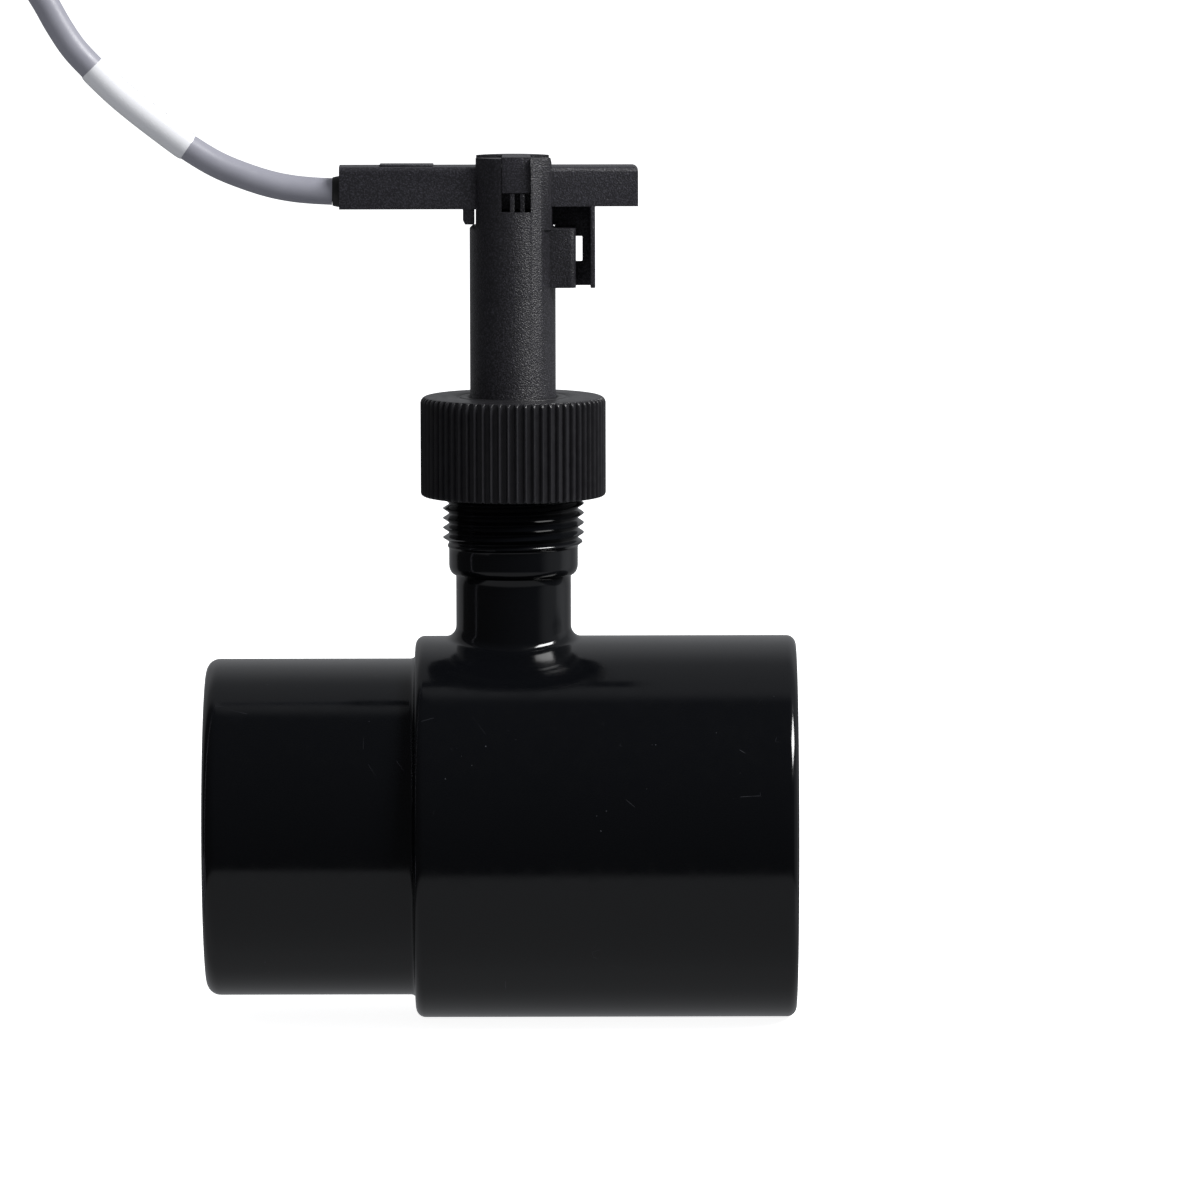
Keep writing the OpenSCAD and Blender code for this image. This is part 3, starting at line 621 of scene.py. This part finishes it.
def make_nut():
    """Ribbed outside, plain top with a shallow ring groove, helical thread inside."""
    bm = bmesh.new()
    columns = NUT_RIBS * 12
    angles = np.linspace(0, 2 * math.pi, columns, endpoint=False)
    crest = np.maximum(0, np.cos(angles * NUT_RIBS)) ** 0.75
    floor_r = NUT_R - 0.7 * (1 - crest)      # the outline of ribs and grooves
    top_round, foot_round = 1.2, 0.7

    def ring(r, z):
        """A ring at radius r, or less where the grooves are deeper."""
        radii = np.minimum(r, floor_r)
        return [(NECK_X + q * math.cos(a), q * math.sin(a), z) for q, a in zip(radii, angles)]

    rows = [ring(NUT_BORE_R + 0.7, NUT_Z), ring(NUT_R - 1.5, NUT_Z)]
    rows += [ring(r, z) for r, z in arc((NUT_R - foot_round, NUT_Z + foot_round), foot_round, 270, 360, 5)]
    rows += [ring(NUT_R, z) for z in np.linspace(NUT_Z + 1.6, NUT_TOP_Z - top_round - 0.6, 8)]
    rows += [ring(r, z) for r, z in arc((NUT_R - top_round, NUT_TOP_Z - top_round), top_round, 0, 90, 12)]
    ring_r = 10.2
    rows += [ring(r, NUT_TOP_Z - d) for r, d in (
        (13, 0), (ring_r + 0.5, 0), (ring_r + 0.3, 0.22), (ring_r - 0.2, 0.22), (ring_r - 0.35, 0.02),
        (NUT_HOLE_R + 0.3, 0), (NUT_HOLE_R, 0.3))]
    thread_top = NUT_WALL_Z - 1.6
    rows += [ring(NUT_HOLE_R, NUT_WALL_Z), ring(NUT_BORE_R, NUT_WALL_Z), ring(NUT_BORE_R, thread_top)]
    add_grid(bm, rows)
    low = NUT_Z + 0.7
    lead = THREAD_LEAD_Z + PITCH / 2
    add_helix(bm, thread_rows(angles, low, thread_top, NUT_BORE_R, NUT_BORE_R - 1.0, lead))
    add_grid(bm, [ring(NUT_BORE_R, low), ring(NUT_BORE_R + 0.7, NUT_Z)])
    return finish_mesh("nut", bm, 50)


# ---- cable ----

def coil_path():
    """The tied coil: seven strands side by side in a bundle, each turn sliding to its next place."""
    d = 2 * CABLE_R
    high = d * math.sqrt(0.75)
    places = [(d / 2, high), (-d / 2, high), (-d, 0), (0, 0), (-d / 2, -high), (d / 2, -high), (d, 0)]
    start, end, slide, stagger = 6.0, 2340.0, 30.0, 22.0
    out = []
    for phi in np.arange(start, end + 0.01, 6.0):
        spot = np.array(places[0], float)
        for k in range(len(places) - 1):
            centre = 360 * (k + 1) - stagger * k - 40
            t = min(1.0, max(0.0, (phi - centre) / slide + 0.5))
            t = t * t * (3 - 2 * t)
            spot += t * (np.array(places[k + 1], float) - np.array(places[k], float))
        a, r = math.radians(phi), COIL_MID_R + spot[0]
        out.append(np.array([COIL_X + r * math.cos(a), r * math.sin(a), COIL_Z + spot[1]]))
    return out


def make_cable():
    run = catmull(ROUTE, 5)
    coil = coil_path()
    last = coil[-1]
    tail = [np.array([last[0], y, last[2]]) for y in np.linspace(last[1] - 3, TAIL_END_Y, 10)]
    path = run + coil + tail
    cable = tube("cable", path, CABLE_R, 24)
    length = sum(float(np.linalg.norm(b - a)) for a, b in zip(path, path[1:])) * MM
    print("cable length", round(length, 4))
    return cable, [tuple(p * MM) for p in path], length


def make_label():
    """A close sleeve with slightly rolled ends."""
    path = catmull(ROUTE[LABEL_FROM - 1:LABEL_TO + 2], 8)[8:-8]
    outer, inner = CABLE_R + 0.25, CABLE_R + 0.05
    radii = [outer - 0.12 if i in (0, len(path) - 1) else outer for i in range(len(path))]
    bm = bmesh.new()
    out_rows = tube_rows(path, radii, 40)
    in_rows = tube_rows(path, inner, 40)
    add_grid(bm, out_rows)
    add_grid(bm, in_rows[::-1])
    add_grid(bm, [out_rows[0], in_rows[0]])
    add_grid(bm, [in_rows[-1], out_rows[-1]])
    return finish_mesh("label_sleeve", bm, 60)


def make_tie(side, name):
    """A flat band drawn round the bundle."""
    bm = bmesh.new()
    half_w, half_h, cut, thick, width = 7.5, COIL_Z - FLOOR_Z - COIL_LIFT, 3.2, COIL_LIFT, 4.0
    outline = []
    for sx, sz in ((1, 1), (-1, 1), (-1, -1), (1, -1)):
        corner = (sx * (half_w - cut), sz * (half_h - cut))
        start = {(1, 1): 0, (-1, 1): 90, (-1, -1): 180, (1, -1): 270}[(sx, sz)]
        outline += [(corner, math.radians(a)) for a in np.linspace(start, start + 90, 9)]
    y0 = side * COIL_MID_R

    def loop(x, grow):
        return [(x, y0 + c[0] + (cut + grow) * math.cos(a), COIL_Z + c[1] + (cut + grow) * math.sin(a))
                for c, a in outline]

    edge = 0.18
    x0, x1 = COIL_X - width / 2, COIL_X + width / 2
    rows = [loop(x0, 0.06), loop(x0, thick - edge), loop(x0 + edge, thick), loop(x1 - edge, thick),
            loop(x1, thick - edge), loop(x1, 0.06), loop(x0, 0.06)]
    add_grid(bm, rows)
    return finish_mesh(name, bm, 50)


def make_core(side, name):
    """A stripped core that eases out of the jacket and ends square."""
    x0, y0 = COIL_X - COIL_MID_R - 2 * CABLE_R, TAIL_END_Y
    path = [(x0 + side * 1.1 * min(1, 0.75 + t), y0 + 1 - 10 * t, COIL_Z) for t in np.linspace(0, 1, 14)]
    return tube(name, path, 0.75, 20)


def make_ferrule(side, name):
    """Collar, step and crimped pin of a wire ferrule."""
    x, y = COIL_X - COIL_MID_R - 2 * CABLE_R + side * 1.1, TAIL_END_Y - 9
    ys = [0, 0.05, 0.9, 1.2, 1.25, 2.0, 2.1, 2.3, 2.4, 3.2, 3.3, 3.5, 3.6, 3.95, 4.0]
    rs = [0.52, 0.6, 0.6, 0.52, 0.48, 0.48, 0.43, 0.43, 0.48, 0.48, 0.43, 0.43, 0.48, 0.46, 0.36]
    return tube(name, [(x, y - d, COIL_Z) for d in ys], rs, 20, 60)


def make_gland():
    """Short tapered cable entry with a rounded lip, and the plug behind it."""
    xs = [0, 0.12, 0.35, 0.7, 1.05, 1.22, 1.3]
    rs = [2.6, 2.68, 2.74, 2.82, 2.88, 2.92, 2.9]
    bm = bmesh.new()
    rows = tube_rows([(GLAND_X + d, 0, GLAND_Z) for d in xs], rs, 48)
    plug = tube_rows([(BAR_END_X, 0, GLAND_Z), (BAR_END_X + 3, 0, GLAND_Z)], 2.45, 48)
    add_grid(bm, rows + plug)
    add_cap(bm, rows[0])
    add_cap(bm, plug[-1])
    return finish_mesh("cable_entry", bm, 45)


# ---- stage ----

# The studio as gloss mirrors it, in brightness: the dark room, its pale back and table, a glow low in
# the back, more light high at the rear, and more at the right. FILL is what lights the matt surfaces.
DARK, PALE, GLOW, REAR, RIGHT, FILL = 0.036, 0.2, 0.06, 0.14, 0.22, 0.4
# How far forward the pale back comes overhead, how much less at the right and left, and its soft edge
BACK_UP, BACK_RIGHT, BACK_LEFT, BACK_SOFT = 0.02, 0.10, 0.60, 0.08
# The table's brightness as a multiple of PALE, and how much of that is lost towards the back
TABLE, TABLE_FADE = 1.3, 0.85


def make_floor():
    bm = bmesh.new()
    reach = 6000
    add_grid(bm, [[(-reach, y, FLOOR_Z), (reach, y, FLOOR_Z)] for y in (-reach, reach)], wrap=False)
    floor = finish_mesh("floor", bm)
    s = Shader("floor_pale", (0.9, 0.9, 0.9), 0.6, 0.2)
    s.bsdf.inputs["Emission Color"].default_value = (1, 1, 1, 1)
    s.bsdf.inputs["Emission Strength"].default_value = 0.92
    floor.data.materials.append(s.material)
    floor.visible_glossy = False
    floor.visible_diffuse = False


def studio_brightness(t):
    """What gloss mirrors in each direction. The pale back reaches further forward overhead."""
    way = t.add("ShaderNodeTexCoord").outputs["Generated"]
    x, y, z = t.add("ShaderNodeSeparateXYZ", {0: way}).outputs
    right = t.math("MULTIPLY", t.math("MAXIMUM", x, 0.0), -BACK_RIGHT)
    left = t.math("MULTIPLY", t.math("MINIMUM", x, 0.0), BACK_LEFT)
    depth = t.math("ADD", y, t.math("ADD", right, left))
    back = t.smooth(depth, BACK_UP - BACK_SOFT, BACK_UP + BACK_SOFT)
    far = t.math("MULTIPLY", t.math("MAXIMUM", y, 0.0), -TABLE_FADE)
    table = t.math("MULTIPLY", t.smooth(z, -0.35, -0.42), t.math("ADD", far, TABLE))
    pale = t.math("MULTIPLY", t.math("MAXIMUM", back, table), PALE)
    glow = t.math("MULTIPLY", t.smooth(y, 0.86, 1.0), t.smooth(t.math("ADD", x, z), -0.10, 0.08))
    above = t.math("MULTIPLY", t.smooth(z, 0.1, 0.5), t.smooth(y, 0.5, 0.8))
    rear = t.math("MULTIPLY", above, REAR)
    beside = t.math("MULTIPLY", t.smooth(x, 0.72, 0.95), RIGHT)
    room = t.math("ADD", t.math("ADD", pale, DARK), t.math("MULTIPLY", glow, GLOW))
    return t.math("ADD", room, t.math("ADD", rear, beside))


def make_world():
    """White behind the object; what its gloss mirrors is a dark room with a soft pale back and table."""
    world = bpy.data.worlds.new("studio")
    bpy.context.scene.world = world
    world.use_nodes = True
    t = Tree(world.node_tree)
    t.nodes.clear()

    def background(colour, strength):
        values = {"Color": (*colour, 1), "Strength": strength}
        return t.add("ShaderNodeBackground", values).outputs[0]

    def choose(test, no, yes):
        return t.add("ShaderNodeMixShader", {0: test, 1: no, 2: yes}).outputs[0]

    mirrored = studio_brightness(t)
    path = t.add("ShaderNodeLightPath").outputs
    cool = (0.94, 0.96, 1)
    room = choose(path["Is Diffuse Ray"], background(cool, mirrored), background(cool, FILL))
    whole = choose(path["Is Camera Ray"], room, background((1, 1, 1), 1.0))
    t.add("ShaderNodeOutputWorld", {0: whole})


def make_key_light():
    """One soft light, high at the front right, that makes the glints on the thread and the edges."""
    place, aim = Vector((0.79, -0.38, 0.9)), Vector((0, 0, 0.05))
    data = bpy.data.lights.new("light_key", "AREA")
    data.shape, data.size, data.size_y = "RECTANGLE", 0.6, 0.4
    data.energy = 19
    light = bpy.data.objects.new("light_key", data)
    bpy.context.collection.objects.link(light)
    light.location = place
    light.rotation_mode = "QUATERNION"
    light.rotation_quaternion = (aim - place).to_track_quat("-Z", "Y")


# ---- build ----

bpy.context.scene.view_settings.view_transform = "Standard"
make_camera()

cable_grey = cable_material()
cable, cable_path, cable_length = make_cable()
cable.data.materials.append(cable_grey)
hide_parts("cable_run", "cable_coil", "cable_tail")
label = make_label()
label.data.materials.append(label_material())
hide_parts("cable_label")
for flexing in (cable, label):
    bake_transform(flexing)

tie_black = polymer_material("tie_nylon_black", (0.02, 0.02, 0.021), 0.25, 0.42)
tin = metal_material("ferrule_tin", (0.72, 0.72, 0.74), 0.28, (1, 0.2, 1))
for side, end in ((-1, "front"), (1, "rear")):
    tie = make_tie(side, f"coil_tie_{end}")
    place(tie, "housing", "tie_black", tie_black, f"tie_{end}")
for side, colour, base in ((-1, "brown", (0.13, 0.055, 0.025)), (1, "blue", (0.02, 0.09, 0.36))):
    insulation = polymer_material(f"insulation_{colour}", base, 0.15, 0.35)
    place(make_core(side, f"wire_{colour}"), "housing", f"core_{colour}",
                          insulation, f"core_{colour}")
    place(make_ferrule(side, f"wire_end_{colour}"), "housing", "tin", tin,
                          f"ferrule_{colour}")

grain = grain_material("moulding_grain_black", (0.0108, 0.0104, 0.0128), 3300, 0.8, 0.40)
# A lighter copy of the black moulding for the carrier bar, its lid and the snap arm: painted light,
# standing in for the light on their front faces and the fill in the arm's shade.
bar_grain_painted_light = grain_material("bar_grain_black_painted_light", (0.0165, 0.0159, 0.0196), 3300, 0.8, 0.40)
rubber = rubber_material()
steel = metal_material("stainless_steel", (0.62, 0.63, 0.65), 0.3, (1, 1, 8))
magnet = metal_material("magnet_grey", (0.22, 0.22, 0.24), 0.45, (1, 1, 1))
acetal = polymer_material("acetal_natural", (0.74, 0.73, 0.69), 0.04, 0.4)

place(make_tee(), "housing", "pvc", pvc_material(), "tee_body")
place(make_nut(), "nut", "nut", nut_material(), "union_nut")
place(softened("insert_column", "column", 0.28, 3), "housing", "moulding", grain, "insert_column")
place(softened("carrier_bar", "reed_bar", 0.5, 3), "carrier", "moulding", bar_grain_painted_light, "carrier_bar")
place(softened("carrier_lid", "reed_bar_lid", 0.12), "carrier", "moulding", bar_grain_painted_light, "carrier_lid")
place(softened("snap_arm", "spring_arm", 0.15), "latch", "moulding", bar_grain_painted_light, "snap_arm")
place(make_gland(), "carrier", "seal", rubber, "gland_stub")
place(softened("paddle_blade", "blade", 0.2), "paddle", "steel", steel, "paddle_blade")
place(softened("blade_rivets", "rivets", 0.25, 3), "paddle", "steel", steel, "blade_rivets")
place(softened("paddle_lever", "lever", 0.2), "paddle", "lever", acetal, "paddle_lever")
place(softened("slip_ring", "thrust_ring", 0.15), "nut_seat", "slip",
      polymer_material("nylon_natural", (0.66, 0.65, 0.62), 0.05, 0.42), "slip_ring")

dress("skirt_o_ring", rubber)
dress("flange_gasket", rubber)
dress("hinge_pin", steel)
dress("return_magnet", magnet)
dress("paddle_magnet", magnet)
dress("potting", polymer_material("epoxy_black", (0.015, 0.015, 0.016), 0.3, 0.25))
dress("reed_glass", glass_material())
contact = metal_material("contact_plating", (0.70, 0.63, 0.46), 0.25, (0.2, 1, 1))
dress("reed_lead_left", contact)
dress("reed_lead_right", contact)

make_floor()
make_world()
make_key_light()
